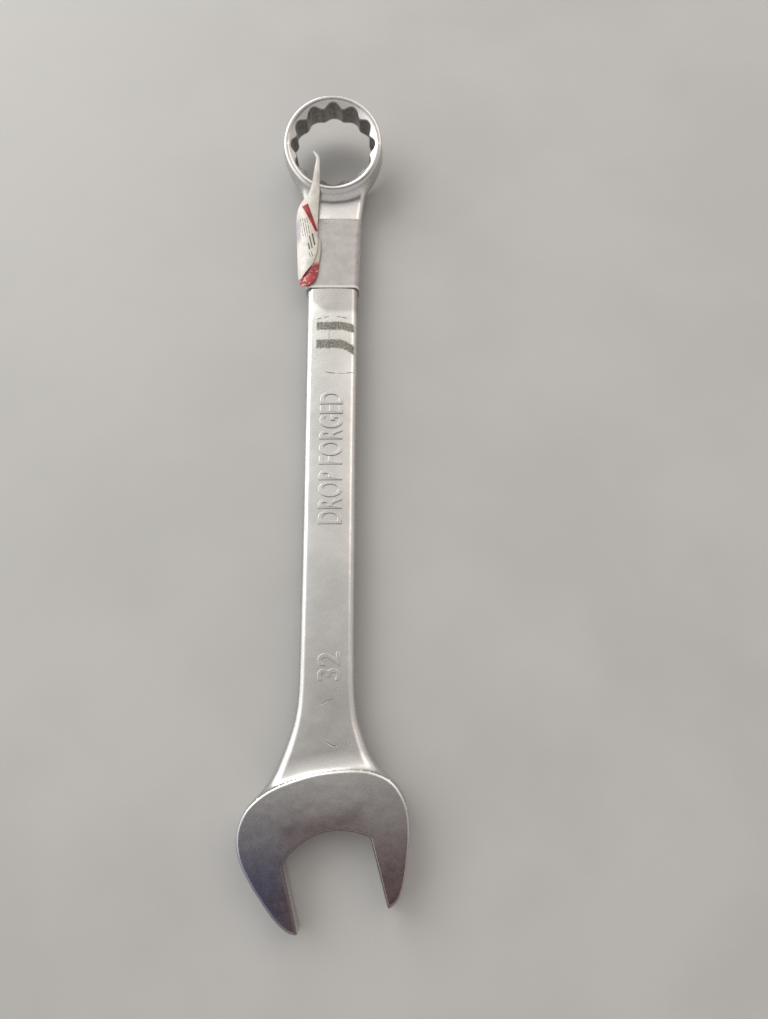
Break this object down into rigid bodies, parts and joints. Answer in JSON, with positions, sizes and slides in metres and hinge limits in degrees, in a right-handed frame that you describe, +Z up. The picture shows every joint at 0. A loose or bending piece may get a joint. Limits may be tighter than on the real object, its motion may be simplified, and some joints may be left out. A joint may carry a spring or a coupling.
{
  "type": "combination wrench",
  "caption": "Forged combination wrench for 32 mm hexagons: open end turned 15 degrees, 12-point ring tilted 15 degrees, satin chrome, with a half-peeled price label.",
  "frame": {"origin": "centre of the object's box, on the surface it lies on", "axes": "+Y along the shank from the open end to the ring, +Z up out of the surface, +X to the right when the ring points away"},
  "size_m": [0.062, 0.351, 0.0267],
  "materials": {
    "satin_chrome": "satin chrome plate with a fine matt grain, brighter on the worn edges",
    "frosted_film": "clear film, slightly frosted",
    "printed_paper": "white coated paper with plain red and black print"
  },
  "bodies": {
    "root": {"wrench_forging": "satin_chrome", "label_film_band": "frosted_film", "printed_label": "printed_paper"}
  },
  "joints": []
}
